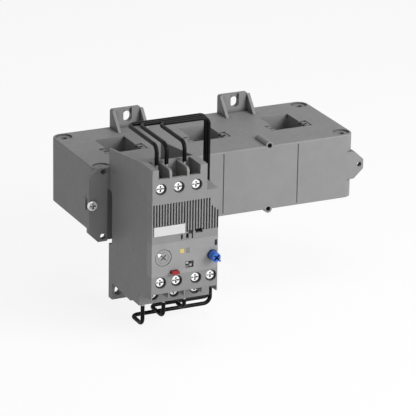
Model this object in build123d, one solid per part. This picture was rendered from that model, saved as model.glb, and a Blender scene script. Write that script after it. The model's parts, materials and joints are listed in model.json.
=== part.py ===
"""Electronic overload relay with its block of three current transformers.

Millimetres, +Z up. The origin is the centre of the mounting plane: the back faces of the
four slotted lugs. The front faces -Y, and X runs along the transformer block.
"""
import os

from build123d import *

# Transformer block
BLOCK_WIDTH = 185.0
BLOCK_DEPTH = 74.5
BLOCK_HEIGHT = 43.5
BLOCK_CORNER_R = 7.0
BLOCK_EDGE_R = 0.8
BLOCK_WALL = 2.5
BASE_PLATE_T = 2.5
BASE_FIT = 0.15

# Conductor windows, T-shaped: a square passage with two side arms along its front edge
WINDOW_MARGIN = 33.2
WINDOW_WIDTH = 20.8
WINDOW_LENGTH = 27.2
WINDOW_BACK = 21.0
WINDOW_CORNER_R = 1.5
ARM_REACH = 4.7
ARM_LENGTH = 10.5
CHIMNEY_WALL = 1.5
HOOK_WIDTH = 2.4
HOOK_PITCH = 5.2
HOOK_T = 1.4
HOOK_RAIL = 7.0
HOOK_LEDGE = 3.0
HOOK_DROP = 0.4

# Mounting lugs with vertical slots
LUG_PITCH = 78.0
LUG_WIDTH = 22.0
LUG_RISE = 12.5
LUG_T = 4.0
LUG_CORNER = 2.0
GUSSET_T = 2.1
GUSSET_REACH = 14.5
GUSSET_DROP = 0.5
SLOT_WIDTH = 6.0
SLOT_LENGTH = 7.1
SLOT_SPACING = 57.0
SLOT_GROOVE_DEPTH = 1.6

# Side ears, front bosses and the shallow joints of the front face
EAR_REACH = 6.8
EAR_ROOT_HEIGHT = 19.0
EAR_TIP_HEIGHT = 6.4
EAR_T = 4.0
EAR_HOLE_R = 1.65
EAR_HOLE_REACH = 3.7
EAR_TIP_R = 1.6
BOSS_INSET = 62.4
BOSS_R = 2.7
BOSS_HOLE_R = 1.6
BOSS_HOLE_DEPTH = 12.0
BOSS_LENGTH = 16.0
FACE_GROOVE_XS = (-3.1, 50.4)
FACE_GROOVE_WIDTH = 0.7
FACE_GROOVE_DEPTH = 0.4
FACE_GROOVE_MARGIN = 1.5

# Cover screws in the block's corners
COVER_SCREW_INSET = 7.0
COVER_SINK_R = 5.5
COVER_SINK_DEPTH = 1.0
COVER_HEAD_R = 2.1
COVER_HEAD_T = 2.2
COVER_HEAD_DEPTH = 9.0
COVER_SHANK_R = 1.5
COVER_CROSS_SPAN = 2.8
COVER_CROSS_WIDTH = 0.8
COVER_PILLAR_R = 5.0
COVER_RECESS_DEPTH = 1.0
COVER_SCREW_END = 0.5
SCREW_CLEARANCE = 0.1

# Cores and windings
CORE_INNER_WIDTH = 33.0
CORE_INNER_FRONT = 50.3
CORE_INNER_BACK = 16.5
CORE_LEG = 7.0
CORE_HEIGHT = 20.0
WINDING_WIDTH = 24.0
WINDING_T = 2.4
WINDING_CORNER_R = 1.0
CORE_CORNER_R = 1.0

# Bracket between the block and the relay
BRACKET_OVERHANG = 5.8
BRACKET_PAST_BOSS = 3.9
BRACKET_T = 3.6
BRACKET_TOP = 24.0
BRACKET_BOTTOM = -25.3
BRACKET_CHAMFER = 6.3
BRACKET_CHANNEL_MARGIN = 1.1
BRACKET_CHANNEL_DEPTH = 2.0
BRACKET_HOLE_INSET = 4.2
BRACKET_HOLE_R = 2.1
BRACKET_HEAD_R = 3.2
BRACKET_HEAD_T = 1.8
THREAD_FIT = 0.05

# Relay outline
RELAY_INSET = 8.0
RELAY_WIDTH = 45.0
RELAY_DEPTH = 69.0
SHOULDER_WIDTH = 37.0
SHOULDER_Z = 25.85
TOP_Z = 42.85
FASCIA_TOP = -5.25
FASCIA_BOTTOM = -26.95
AUX_BOTTOM = -38.45
AUX_BARRIER_BOTTOM = -41.95
RELAY_BOTTOM = -52.6
COVER_DEPTH = 7.0
TIER_SETBACK = 18.0
TIER_FLANGE = 3.2
TIER_FLANGE_T = 4.0
TIER_FOOT_RISE = 0.6
TIER_FOOT_DROP = 1.1
TIER_FOOT_START = 10.0
TIER_FOOT_LOWEST = 13.5
SHELL_T = 1.8
SEAM = 0.15

# Adapter behind the relay
ADAPTER_BOTTOM = -63.75
ADAPTER_TOP = 23.0
ADAPTER_PLATE_T = 5.4
ADAPTER_CHEEK_FRONT = 14.3
ADAPTER_NOTCH_TOP = 9.3
ADAPTER_NOTCH_BOTTOM = -27.0
ADAPTER_NOTCH_DEPTH = 4.8
ADAPTER_NOTCH_WIDTH = 9.0
ADAPTER_NOTCH_R = 3.0
ADAPTER_SLOT_Z = -57.8
ADAPTER_SLOT_INSET = 4.2
ADAPTER_SLOT_WIDTH = 4.6
ADAPTER_SLOT_LENGTH = 6.4
ADAPTER_SCREW_X = 10.0
ADAPTER_SCREW_Z = 14.0
ADAPTER_SCREW_R = 1.5
ADAPTER_ROOF_GAP = 0.15

# Upper terminals
WING_T = 1.5
WING_DROP = 0.1
WING_REAR_TOP = 36.55
RIDGE_DEPTH = 51.5
BAY_CENTRE = 18.2
BAY_MIDDLE_WIDTH = 10.1
BAY_SIDE_WIDTH = 7.3
BAY_BARRIER_T = 1.65
BAY_SILL_Z = 36.75
BAY_FLOOR_Z = 33.6
BAY_BARRIER_TOP = 42.0
BAY_FRONT_T = 2.0
BAY_BACK_T = 1.6
TOP_SCREW_PITCH = 12.0
TOP_SCREW_CENTRE = 18.0
TOP_SCREW_Z = 30.1
BARRIER_NOSE_R = 2.5

# Terminal screws
HEAD_R = 3.05
HEAD_T = 1.9
HEAD_SINK = 1.4
HEAD_HOLE_R = 3.7
SHANK_R = 1.7
SHANK_LENGTH = 7.6
DRIVE_WIDTH = 1.0
DRIVE_DEPTH = 1.3
CROSS_SPAN = 3.8
SLOT_DRIVE_DEPTH = 0.7
HEAD_ROUNDING = 0.35

# Lower terminals
AUX_SCREW_OFFSETS = (-16.1, -5.25, 7.8, 18.1)
AUX_SCREW_Z = -31.4
AUX_BARRIERS = (11.9, 22.6, 34.8)
AUX_BARRIER_T = 0.8
AUX_CHEEK_T = 0.7
AUX_CHEEK_SLOPE = 1.5
MAIN_PITCH = 14.4
MAIN_SCREW_Z = -46.2
MAIN_SCREW_SHIFT = 1.6

# Grille and label
GRILLE_COUNT = 24
GRILLE_PITCH = 1.88
GRILLE_SLOT = 0.95
GRILLE_FIRST = 1.25
GRILLE_TOP = 20.3
GRILLE_BOTTOM = -0.15
GRILLE_STEPPED = 3
GRILLE_STEP_DROP = 5.3
GRILLE_STEP = 1.6
LABEL_LEFT = 1.2
LABEL_WIDTH = 21.1
LABEL_BOTTOM = -0.25
LABEL_HEIGHT = 6.3
LABEL_T = 1.0
LABEL_PROUD = 0.5
LABEL_FIT = 0.1

# Latch windows low in the cover: left, right, bottom and top of each
LATCH_WINDOWS = ((19.7, 20.9, -4.45, -1.25), (23.2, 24.9, -4.15, -0.95), (24.7, 27.9, -1.55, 0.95),
                 (27.0, 27.9, -4.55, -1.5), (29.6, 34.3, -1.55, 1.25))

# Recess beside the fascia's right edge
NOTCH_WIDTH = 1.7
NOTCH_EDGE = 0.5
NOTCH_BOTTOM = -11.75
NOTCH_TOP = -7.95
NOTCH_DEPTH = 2.4

# Controls on the fascia, from the relay's left side
DIAL_X = 8.0
DIAL_Z = -14.85
DIAL_R = 5.2
DIAL_FLANGE_R = 5.9
DIAL_SHAFT_R = 1.6
DIAL_FLANGE_T = 1.0
DIAL_SLOT_SPAN = 4.6
DIAL_SLOT_WIDTH = 0.7
DIAL_SLOT_DEPTH = 0.8
DIAL_RING_R = 3.6
DIAL_RING_WIDTH = 0.25
DIAL_RING_DEPTH = 0.15
DIAL_POINTER = ((-3.8, 3.15), (-1.1, 2.5), (-3.2, 0.4))
DIAL_POINTER_T = 0.2
LED_X = 20.7
LED_Z = -12.15
LED_SIZE = 3.0
SIGNAL_X = 24.4
SIGNAL_WIDTH = 2.4
SIGNAL_HEIGHT = 3.4
SELECTOR_X = 25.7
SELECTOR_Z = -21.65
SELECTOR_WIDTH = 5.6
SELECTOR_HEIGHT = 4.4
SLIDER_WIDTH = 1.5
SLIDER_HEIGHT = 1.3
SLIDER_PITCH = 2.4
SLIDER_TRAVEL = 1.6
SLIDER_LENGTH = 3.0
SLIDER_GAP = 0.15
KNOB_X = 41.2
KNOB_Z = -17.45
KNOB_R = 3.0
KNOB_PROUD = 6.5
KNOB_BACK = 4.2
KNOB_GAP = 0.3
KNOB_SOCKET = 6.5
KNOB_TRAVEL = 2.5
KNOB_CHAMFER = 0.4
KNOB_CROSS_SPAN = 4.4
KNOB_CROSS_SPIN = 45.0
KNOB_CROSS_WIDTH = 1.1
KNOB_CROSS_DEPTH = 1.8
KNOB_NUB_REACH = 3.9
KNOB_NUB_WIDTH = 1.2
KNOB_NUB_LENGTH = 3.6
STEM_R = 1.6
STEM_END = 19.5
STEM_REAR_R = 0.95
COLLAR_R = 2.9
COLLAR_T = 1.0
TEST_X = 15.3
TEST_Z = -24.9
TEST_WIDTH = 5.2
TEST_HEIGHT = 1.8
TEST_PROUD = 3.2
TEST_TRAVEL = 1.5
TEST_GAP = 0.15
TEST_STEM_R = 0.8
TEST_STEM_RAISE = 1.5
TEST_FLANGE_RISE = 2.3
TEST_FLANGE_SIDE = 1.0
TEST_FLANGE_T = 1.0
TEST_CORNER_R = 0.4
RUNNING_FIT = 0.08
INSIDE_GAP = 0.2

# Inside the relay, as depths behind its front face
BOARD_DEPTH = 9.8
BOARD_T = 1.6
BOARD_TOP = 21.5
BOARD_BOTTOM = -24.6
BOARD_MARGIN = 0.1
BOARD_CHIPS = ((6, 16, 6, 17, 3.0), (19, 25, 4, 16, 1.6), (28, 38, -6, 3, 1.8))
CAPACITOR_XS = (31, 38)
CAPACITOR_Z = 12.0
CAPACITOR_R = 2.5
CAPACITOR_HEIGHT = 5.0
POT_SIZE = 9.0
POT_DEPTH = 3.8
POT_FLOOR = 1.0
SPRING_SEAT_DEPTH = 17.5
SPRING_SEAT_T = 2.0
SPRING_SEAT_WIDTH = 6.2
SPRING_WIRE_R = 0.22
SPRING_TURNS = 6
SPRING_R = 1.5
TEST_SPRING_R = 1.45
TEST_SPRING_WIRE_R = 0.2
TEST_SPRING_TURNS = 4
SHELF_Z = 7.0
SHELF_T = 2.0
SHELF_DEPTH = 12.5
SHELF_LENGTH = 14.5
COIL_DEPTH = 19.0
COIL_R = 5.6
COIL_BOTTOM = -8.0
YOKE_T = 1.4
PLUNGER_R = 2.0
PLUNGER_GAP = 0.3
PLUNGER_TOP = -2.0
TRIP_TRAVEL = 1.2
BAR_BOTTOM = -17.0
BAR_TOP = -14.0
BAR_DEPTH = 15.2
BAR_T = 4.6
BAR_REACH = 5.4
BAR_LEG_WIDTH = 3.0
BAR_LEG_T = 1.0
BRIDGE_T = 0.8
BRIDGE_DEPTH = 15.4
BRIDGE_LENGTH = 2.0
BRIDGE_OVERLAP = 1.0
CONTACT_OPENING = 0.1
PAD_Z = -21.4
PAD_T = 0.8
PAD_LENGTH = 3.4
CONTACT_DEPTH = 13.2
CONTACT_T = 0.8
CONTACT_WIDTH = 3.0

# Clamps and conductors behind the terminal screws
CLAMP_FRONT = 4.5
CLAMP_LENGTH = 10.4
CLAMP_FIT = 0.1
CLAMP_WALL = 1.0
TOP_CLAMP_MARGIN = 0.4
TOP_CLAMP_BOTTOM = 26.9
TOP_CLAMP_TOP = 33.4
AUX_CLAMP_WIDTH = 7.0
AUX_ENTRY_DEPTH = 11.8
AUX_CLAMP_BOTTOM = -35.2
AUX_CLAMP_TOP = -28.5
MAIN_CLAMP_WIDTH = 10.0
MAIN_CLAMP_BOTTOM = -49.5
MAIN_CLAMP_TOP = -42.9
ENTRY_R = 1.6
STRIP_WIDTH = 4.0
STRIP_T = 1.2
STRIP_GAP = 0.2
STRIP_FRONT_DEPTH = 13.6
STRIP_REAR_DEPTH = 31.5
STRIP_JOG_Z = 12.0
TOROID_R = 6.0
TOROID_HOLE_R = 3.4
TOROID_HEIGHT = 7.0
TIER_FLOOR = -36.95

# Formed leads
LEAD_R = 1.3
LEAD_PITCH = 3.1
LEAD_BEND_R = 4.5
FERRULE_R = 1.0
FERRULE_END = 1.0
TOP_LEAD_OFFSETS = (8.1, 14.8, 26.9)
TOP_LEAD_Y = 57.0
TOP_LEAD_START = 42.0
TOP_LEAD_Z = 54.2
TOP_DROP_OFFSET = -1.0
TOP_DROP_LEAN = 0.45
TOP_DROP_Y = 13.6
TOP_ENTRY_Z = 11.25
BOTTOM_LEAD_Y = 38.5
BOTTOM_LEAD_START = -58.0
BOTTOM_LEAD_ZS = (-70.95, -67.75, -64.55)
BOTTOM_RISER_OFFSETS = (0.3, 1.8, -1.2)
BOTTOM_RISER_YS = (21.6, 18.5, 24.7)
BOTTOM_ENTRY_ZS = (-10.65, -13.75, -7.55)
GLAND_GAP = 0.4
GLAND_WIDTH = 8.4
GLAND_TOP = 14.4
GLAND_BOTTOM = -16.8
GLAND_PROUD = 4.0
LEAD_FIT = 0.05
GLAND_FLANGE = 1.0
GLAND_FLANGE_T = 1.2

# Derived places
BLOCK_FACE = -BLOCK_DEPTH
BLOCK_TOP = BLOCK_HEIGHT / 2
BLOCK_BOTTOM = -BLOCK_HEIGHT / 2
BLOCK_LEFT = -BLOCK_WIDTH / 2
WINDOW_PITCH = BLOCK_WIDTH / 2 - WINDOW_MARGIN
WINDOW_FRONT = WINDOW_BACK + WINDOW_LENGTH
WINDOW_XS = (-WINDOW_PITCH, 0.0, WINDOW_PITCH)
COVER_SCREW_XS = (-BLOCK_WIDTH / 2 + COVER_SCREW_INSET, BLOCK_WIDTH / 2 - COVER_SCREW_INSET)
COVER_SCREW_YS = (-COVER_SCREW_INSET, BLOCK_FACE + COVER_SCREW_INSET)
EAR_HOLE_X = BLOCK_WIDTH / 2 + EAR_HOLE_REACH
BOSS_X = BLOCK_WIDTH / 2 - BOSS_INSET
RELAY_LEFT = BLOCK_LEFT + RELAY_INSET
RELAY_RIGHT = RELAY_LEFT + RELAY_WIDTH
SHOULDER_RIGHT = RELAY_LEFT + SHOULDER_WIDTH
RELAY_MIDDLE = RELAY_LEFT + RELAY_WIDTH / 2
RELAY_FACE = BLOCK_FACE - RELAY_DEPTH
BRACKET_LEFT = BLOCK_LEFT - BRACKET_OVERHANG
BRACKET_RIGHT = -BOSS_X + BRACKET_PAST_BOSS
BRACKET_HOLE_X = BLOCK_LEFT + BRACKET_HOLE_INSET
GLAND_X = BRACKET_RIGHT + GLAND_GAP + GLAND_WIDTH / 2
TOP_LEAD_XS = tuple(RELAY_LEFT + offset for offset in TOP_LEAD_OFFSETS)
BOTTOM_RISER_XS = tuple(GLAND_X + offset for offset in BOTTOM_RISER_OFFSETS)
COIL_X = RELAY_MIDDLE
COVER_BACK = RELAY_FACE + COVER_DEPTH
TIER_FACE = RELAY_FACE + TIER_SETBACK
ADAPTER_BACK = BLOCK_FACE - BRACKET_T
ADAPTER_PLATE_FACE = ADAPTER_BACK - ADAPTER_PLATE_T
CHEEK_FACE = BLOCK_FACE - ADAPTER_CHEEK_FRONT
RIDGE_Y = BLOCK_FACE - RIDGE_DEPTH
MAIN_XS = tuple(RELAY_MIDDLE + i * MAIN_PITCH for i in (-1, 0, 1))
TOP_SCREW_XS = tuple(RELAY_LEFT + TOP_SCREW_CENTRE + i * TOP_SCREW_PITCH for i in (-1, 0, 1))
AUX_XS = tuple(RELAY_MIDDLE + offset for offset in AUX_SCREW_OFFSETS)


def slab(xs, ys, zs):
    """A rectangular solid between two values on each axis."""
    size = (abs(xs[1] - xs[0]), abs(ys[1] - ys[0]), abs(zs[1] - zs[0]))
    centre = (sum(xs) / 2, sum(ys) / 2, sum(zs) / 2)
    return Pos(*centre) * Box(*size)


def rod_y(x, z, radius, ys):
    """A cylinder along Y between two depths."""
    return Pos(x, sum(ys) / 2, z) * Rot(90, 0, 0) * Cylinder(radius, abs(ys[1] - ys[0]))


def rod_z(x, y, radius, zs):
    """A cylinder along Z between two heights."""
    return Pos(x, y, sum(zs) / 2) * Cylinder(radius, abs(zs[1] - zs[0]))


def prism_x(points, xs):
    """An outline of (y, z) points carried from one X to another."""
    face = Plane.YZ.offset(min(xs)) * Polygon(*points, align=None)
    return extrude(face, abs(xs[1] - xs[0]), dir=(1, 0, 0))


def prism_y(points, ys):
    """An outline of (x, z) points carried from the deeper Y to the nearer one."""
    face = Plane.XZ.offset(-max(ys)) * Polygon(*points, align=None)
    return extrude(face, abs(ys[1] - ys[0]), dir=(0, -1, 0))


def prism_z(points, zs):
    """An outline of (x, y) points carried from the lower Z to the higher one."""
    face = Plane.XY.offset(min(zs)) * Polygon(*points, align=None)
    return extrude(face, abs(zs[1] - zs[0]), dir=(0, 0, 1))


def save(name, *solids):
    """Write one sub-part, a single solid or a group of separate ones."""
    shape = solids[0] if len(solids) == 1 else Compound(children=list(solids))
    export_step(shape, f"parts/{name}.step")


def window_outline(x, grow=0.0):
    """The T-shaped passage around one window's centre line, seen from above."""
    half = WINDOW_WIDTH / 2 + grow
    arm = WINDOW_WIDTH / 2 + ARM_REACH + grow
    back = -WINDOW_BACK + grow
    front = -WINDOW_FRONT - grow
    arm_back = -WINDOW_FRONT + ARM_LENGTH + grow
    return [(x - half, back), (x + half, back), (x + half, arm_back), (x + arm, arm_back),
            (x + arm, front), (x - arm, front), (x - arm, arm_back), (x - half, arm_back)]


def lug(x, side):
    """One slotted lug with two gussets; side is 1 above the block and -1 below it."""
    edge = side * BLOCK_TOP
    tip = edge + side * LUG_RISE
    root = edge - side * BLOCK_WALL
    half = LUG_WIDTH / 2
    plate = prism_y([(x - half, root), (x + half, root), (x + half, tip - side * LUG_CORNER),
                     (x + half - LUG_CORNER, tip), (x - half + LUG_CORNER / 2, tip),
                     (x - half, tip - side * LUG_CORNER / 2)], (-LUG_T, 0))
    gusset = [(-LUG_T / 2, root), (-GUSSET_REACH, root), (-GUSSET_REACH, edge),
              (-LUG_T, tip - side * GUSSET_DROP), (-LUG_T / 2, tip - side * LUG_CORNER)]
    body = plate + prism_x(gusset, (x - half, x - half + GUSSET_T))
    body += prism_x(gusset, (x + half - GUSSET_T, x + half))
    slot_z = side * SLOT_SPACING / 2
    slot = Plane.XZ * Pos(x, slot_z) * SlotOverall(SLOT_LENGTH, SLOT_WIDTH, rotation=90)
    body -= extrude(slot, LUG_T * 2, both=True)
    groove = slab((x - SLOT_WIDTH / 2, x + SLOT_WIDTH / 2), (-LUG_T - 1, -LUG_T + SLOT_GROOVE_DEPTH),
                  sorted((slot_z, tip + side)))
    return body - groove


def ear(side):
    """One side ear at the front face; side is 1 on the right and -1 on the left."""
    root = side * (BLOCK_WIDTH / 2 - BLOCK_CORNER_R)
    edge = side * BLOCK_WIDTH / 2
    tip = edge + side * EAR_REACH
    wide = EAR_ROOT_HEIGHT / 2
    narrow = EAR_TIP_HEIGHT / 2
    outline = [(root, wide), (edge, wide), (tip, narrow), (tip, -narrow), (edge, -wide), (root, -wide)]
    shape = prism_y(outline, (BLOCK_FACE, BLOCK_FACE + EAR_T))
    tip_edges = shape.edges().filter_by(Axis.Y).sort_by(Axis.X)
    picked = tip_edges[-2:] if side > 0 else tip_edges[:2]
    return fillet(picked, EAR_TIP_R)


def rounded_block(shrink, zs, radius):
    """The block's outline, set in by a wall, between two heights."""
    outline = Plane.XY.offset(min(zs)) * Pos(0, -BLOCK_DEPTH / 2) * RectangleRounded(
        BLOCK_WIDTH - 2 * shrink, BLOCK_DEPTH - 2 * shrink, radius)
    return extrude(outline, abs(zs[1] - zs[0]))


def make_block_housing():
    """The upper shell of the transformer block, open below."""
    body = rounded_block(0, (BLOCK_BOTTOM, BLOCK_TOP), BLOCK_CORNER_R)
    body = fillet(body.faces().sort_by(Axis.Z)[-1].edges(), BLOCK_EDGE_R)
    for side in (-1, 1):
        body += ear(side)
        for x in (-LUG_PITCH / 2, LUG_PITCH / 2):
            body += lug(x, side)
        for x in (-BOSS_X, BOSS_X):
            boss = rod_y(x, side * BLOCK_TOP, BOSS_R, (BLOCK_FACE, BLOCK_FACE + BOSS_LENGTH))
            body += boss
    cavity = rounded_block(BLOCK_WALL, (BLOCK_BOTTOM, BLOCK_TOP - BLOCK_WALL),
                           BLOCK_CORNER_R - BLOCK_WALL)
    for x in COVER_SCREW_XS:
        for y in COVER_SCREW_YS:
            cavity -= rod_z(x, y, COVER_PILLAR_R, (BLOCK_BOTTOM + BASE_PLATE_T, BLOCK_TOP))
    for side in (-1, 1):
        cavity -= slab(sorted((side * (BLOCK_WIDTH / 2 - BLOCK_WALL - EAR_T), side * BLOCK_WIDTH / 2)),
                       (BLOCK_FACE, BLOCK_FACE + EAR_T), (-EAR_ROOT_HEIGHT / 2, EAR_ROOT_HEIGHT / 2))
        for x in (-BOSS_X, BOSS_X):
            cavity -= rod_y(x, side * BLOCK_TOP, BOSS_R, (BLOCK_FACE, BLOCK_FACE + BOSS_LENGTH))
    body -= cavity
    for x in WINDOW_XS:
        hole = prism_z(window_outline(x), (BLOCK_TOP - BLOCK_WALL - 1, BLOCK_TOP + 1))
        body -= hole
    for x in COVER_SCREW_XS:
        for y in COVER_SCREW_YS:
            body -= rod_z(x, y, COVER_SINK_R, (BLOCK_TOP - COVER_SINK_DEPTH, BLOCK_TOP + 1))
            body -= rod_z(x, y, COVER_HEAD_R + SCREW_CLEARANCE,
                          (BLOCK_TOP - COVER_HEAD_DEPTH - COVER_HEAD_T, BLOCK_TOP + 1))
            body -= rod_z(x, y, COVER_SHANK_R + SCREW_CLEARANCE, (BLOCK_BOTTOM - 1, BLOCK_TOP))
    for side in (-1, 1):
        body -= rod_y(side * EAR_HOLE_X, 0, EAR_HOLE_R, (BLOCK_FACE - 1, BLOCK_FACE + EAR_T + 1))
        for x in (-BOSS_X, BOSS_X):
            body -= rod_y(x, side * BLOCK_TOP, BOSS_HOLE_R, (BLOCK_FACE - 1, BLOCK_FACE + BOSS_HOLE_DEPTH))
    for x in FACE_GROOVE_XS:
        body -= slab((x, x + FACE_GROOVE_WIDTH), (BLOCK_FACE - 1, BLOCK_FACE + FACE_GROOVE_DEPTH),
                     (BLOCK_BOTTOM + FACE_GROOVE_MARGIN, BLOCK_TOP - FACE_GROOVE_MARGIN))
    body -= gland_opening(0)
    return body


def gland_opening(shrink):
    """The opening in the block's front wall that the lead gland fills."""
    half = GLAND_WIDTH / 2 - shrink
    return slab((GLAND_X - half, GLAND_X + half), (BLOCK_FACE - 1, BLOCK_FACE + BLOCK_WALL + 1),
                (GLAND_BOTTOM + shrink, GLAND_TOP - shrink))


def window_hook(x, side, top):
    """One snap arm in a window's side arm: a ledge with two tongues that grip the shell."""
    wall = x + side * WINDOW_WIDTH / 2
    tip = x + side * (WINDOW_WIDTH / 2 + ARM_REACH - BASE_FIT)
    front = -WINDOW_FRONT + BASE_FIT
    back = -WINDOW_FRONT + ARM_LENGTH - BASE_FIT
    root = wall + side * CHIMNEY_WALL / 2
    hook = slab(sorted((root, tip)), (front, back), (top - HOOK_LEDGE, top - BASE_FIT))
    centre = (front + back) / 2
    for lean in (-1, 1):
        y = centre + lean * HOOK_PITCH / 2
        hook += slab(sorted((root, tip - side * HOOK_T)), (y - HOOK_WIDTH / 2, y + HOOK_WIDTH / 2),
                     (top - HOOK_LEDGE, BLOCK_TOP - HOOK_DROP))
    rail = (tip - side * HOOK_T, tip)
    return hook + slab(sorted(rail), (centre - HOOK_RAIL / 2, centre + HOOK_RAIL / 2),
                       (top - HOOK_LEDGE, BLOCK_TOP - HOOK_DROP))


def make_block_base():
    """The bottom plate with the three insulating chimneys and their snap hooks."""
    body = rounded_block(BLOCK_WALL + BASE_FIT, (BLOCK_BOTTOM, BLOCK_BOTTOM + BASE_PLATE_T),
                         BLOCK_CORNER_R - BLOCK_WALL - BASE_FIT)
    top = BLOCK_TOP - BLOCK_WALL
    centre = -(WINDOW_BACK + WINDOW_FRONT) / 2
    outer = RectangleRounded(WINDOW_WIDTH + 2 * CHIMNEY_WALL, WINDOW_LENGTH + 2 * CHIMNEY_WALL,
                             WINDOW_CORNER_R + CHIMNEY_WALL)
    inner = RectangleRounded(WINDOW_WIDTH, WINDOW_LENGTH, WINDOW_CORNER_R)
    for x in WINDOW_XS:
        body += extrude(Pos(x, centre, BLOCK_BOTTOM) * outer, top - BLOCK_BOTTOM)
        for side in (-1, 1):
            body += window_hook(x, side, top)
        body -= extrude(Pos(x, centre, BLOCK_BOTTOM - 1) * inner, BLOCK_HEIGHT + 2)
    for x in COVER_SCREW_XS:
        for y in COVER_SCREW_YS:
            body -= rod_z(x, y, COVER_SHANK_R + THREAD_FIT, (BLOCK_BOTTOM - 1, BLOCK_TOP))
    for x in (-BOSS_X, BOSS_X):
        body -= rod_y(x, BLOCK_BOTTOM, BOSS_R + BASE_FIT, (BLOCK_FACE, BLOCK_FACE + BOSS_LENGTH + BASE_FIT))
    return body


def make_block_screws():
    """Four long screws from the top counterbores into the bottom plate."""
    screws = []
    head_top = BLOCK_TOP - COVER_HEAD_DEPTH
    for x in COVER_SCREW_XS:
        for y in COVER_SCREW_YS:
            screw = rod_z(x, y, COVER_HEAD_R, (head_top - COVER_HEAD_T, head_top))
            screw += rod_z(x, y, COVER_SHANK_R, (BLOCK_BOTTOM + COVER_SCREW_END, head_top - COVER_HEAD_T))
            blade = Box(COVER_CROSS_SPAN, COVER_CROSS_WIDTH, 2 * COVER_RECESS_DEPTH)
            for spin in (0, 90):
                screw -= Pos(x, y, head_top) * Rot(0, 0, spin) * blade
            screws.append(screw)
    return screws


def make_core(x):
    """A rectangular ring core around one window's chimney."""
    y = -(CORE_INNER_FRONT + CORE_INNER_BACK) / 2
    length = CORE_INNER_FRONT - CORE_INNER_BACK
    base = BLOCK_BOTTOM + BASE_PLATE_T
    outer = Plane.XY.offset(base) * Pos(x, y) * RectangleRounded(
        CORE_INNER_WIDTH + 2 * CORE_LEG, length + 2 * CORE_LEG, CORE_LEG)
    inner = Plane.XY.offset(base) * Pos(x, y) * RectangleRounded(
        CORE_INNER_WIDTH, length, CORE_CORNER_R)
    return extrude(outer, CORE_HEIGHT) - extrude(inner, CORE_HEIGHT)


def make_winding(x):
    """The secondary winding, wound round the rear leg of one core."""
    base = BLOCK_BOTTOM + BASE_PLATE_T
    leg = (-CORE_INNER_BACK, -CORE_INNER_BACK + CORE_LEG)
    fit = SCREW_CLEARANCE
    coil = slab((x - WINDING_WIDTH / 2, x + WINDING_WIDTH / 2),
                (leg[0] - fit - WINDING_T / 2, leg[1] + fit + WINDING_T),
                (base, base + CORE_HEIGHT + WINDING_T))
    coil = fillet(coil.edges().filter_by(Axis.X), WINDING_CORNER_R)
    return coil - slab((x - WINDING_WIDTH, x + WINDING_WIDTH), (leg[0] - fit, leg[1] + fit),
                       (base - 1, base + CORE_HEIGHT + fit))


def make_bracket():
    """The plate that joins the relay's adapter to the block's left ear and front bosses."""
    left = BRACKET_LEFT + BRACKET_CHAMFER
    outline = [(left, BRACKET_TOP), (BRACKET_RIGHT, BRACKET_TOP), (BRACKET_RIGHT, BRACKET_BOTTOM),
               (left, BRACKET_BOTTOM), (BRACKET_LEFT, BRACKET_BOTTOM + BRACKET_CHAMFER),
               (BRACKET_LEFT, BRACKET_TOP - BRACKET_CHAMFER)]
    body = prism_y(outline, (ADAPTER_BACK, BLOCK_FACE))
    body -= slab((RELAY_LEFT - BRACKET_CHANNEL_MARGIN, RELAY_RIGHT + BRACKET_CHANNEL_MARGIN),
                 (ADAPTER_BACK - 1, ADAPTER_BACK + BRACKET_CHANNEL_DEPTH),
                 (BRACKET_BOTTOM - 1, ADAPTER_NOTCH_TOP))
    body -= rod_y(-EAR_HOLE_X, 0, EAR_HOLE_R + SCREW_CLEARANCE, (ADAPTER_BACK - 1, BLOCK_FACE + 1))
    for side in (-1, 1):
        body -= rod_y(-BOSS_X, side * BLOCK_TOP, BOSS_HOLE_R + SCREW_CLEARANCE,
                      (ADAPTER_BACK - 1, BLOCK_FACE + 1))
        body -= rod_y(BRACKET_HOLE_X, side * BLOCK_TOP, BRACKET_HOLE_R, (ADAPTER_BACK - 1, BLOCK_FACE + 1))
    for x, z in adapter_screw_places():
        body -= rod_y(x, z, ADAPTER_SCREW_R + SCREW_CLEARANCE, (ADAPTER_BACK - 1, BLOCK_FACE + 1))
    return body


def adapter_screw_places():
    """Where the adapter is screwed to the bracket: one place high up, one low down."""
    return [(RELAY_MIDDLE - ADAPTER_SCREW_X, ADAPTER_SCREW_Z),
            (RELAY_MIDDLE + ADAPTER_SCREW_X, -ADAPTER_SCREW_Z)]


def panhead(x, z, face, head_r, head_t, shank_r, length):
    """A round-headed screw along Y, its head standing out of the face toward -Y."""
    top = face - head_t
    head = rod_y(x, z, head_r, (top, face))
    head = fillet(head.edges().filter_by(GeomType.CIRCLE).sort_by(Axis.Y)[:1], head_t * HEAD_ROUNDING)
    screw = head + rod_y(x, z, shank_r, (face, face + length))
    for spin in (0, 90):
        screw -= Pos(x, top, z) * Rot(0, spin, 0) * Box(CROSS_SPAN, 2 * DRIVE_DEPTH, DRIVE_WIDTH)
    return screw


def terminal_screw(x, z, face):
    """A terminal screw with a combined slot and cross, its head sunk in its hole."""
    screw = panhead(x, z, face + HEAD_SINK + HEAD_T, HEAD_R, HEAD_T, SHANK_R, SHANK_LENGTH)
    slot = slab((x - HEAD_R - 1, x + HEAD_R + 1), (face, face + HEAD_SINK + SLOT_DRIVE_DEPTH),
                (z - DRIVE_WIDTH / 2, z + DRIVE_WIDTH / 2))
    return screw - slot


def screw_pocket(x, z, face):
    """The room that a terminal screw needs behind a face."""
    pocket = rod_y(x, z, HEAD_HOLE_R, (face - 1, face + HEAD_SINK + HEAD_T))
    shank_end = face + HEAD_SINK + HEAD_T + SHANK_LENGTH + SCREW_CLEARANCE
    return pocket + rod_y(x, z, SHANK_R + SCREW_CLEARANCE, (face, shank_end))


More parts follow.
